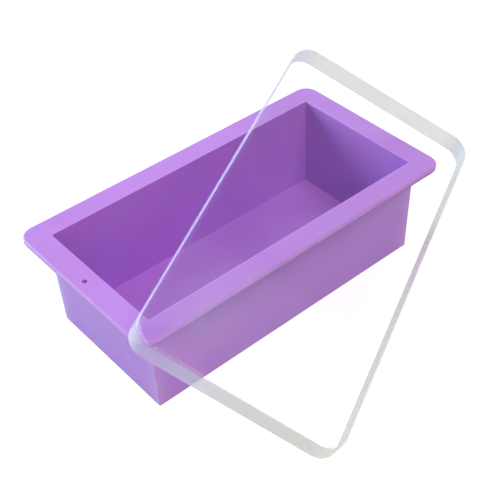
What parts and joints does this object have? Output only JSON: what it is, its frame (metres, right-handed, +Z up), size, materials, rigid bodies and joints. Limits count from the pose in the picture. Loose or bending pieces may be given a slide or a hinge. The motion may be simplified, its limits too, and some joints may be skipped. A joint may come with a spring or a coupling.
{
  "type": "soap loaf mould",
  "caption": "Rectangular loaf mould in purple silicone with a flat flange round its mouth, and a clear skirted lid lying tilted across it.",
  "frame": {"origin": "centre of the mould's flat underside, the face it stands on", "axes": "+Z up out of the mould's mouth, +X along the loaf away from the flange's hanging hole, +Y across the loaf towards the long side that the lid leaves uncovered"},
  "size_m": [0.2792, 0.2315, 0.132],
  "materials": {
    "purple_silicone": "satin",
    "clear_plastic": "clear gloss"
  },
  "bodies": {
    "mould": {"mould_body": "purple_silicone"},
    "lid": {"clear_lid": "clear_plastic"}
  },
  "joints": [
    {"name": "lid_lift", "type": "slide", "parent": "mould", "child": "lid", "axis": [0, 0, 1], "range_m": [0, 0.1]}
  ]
}
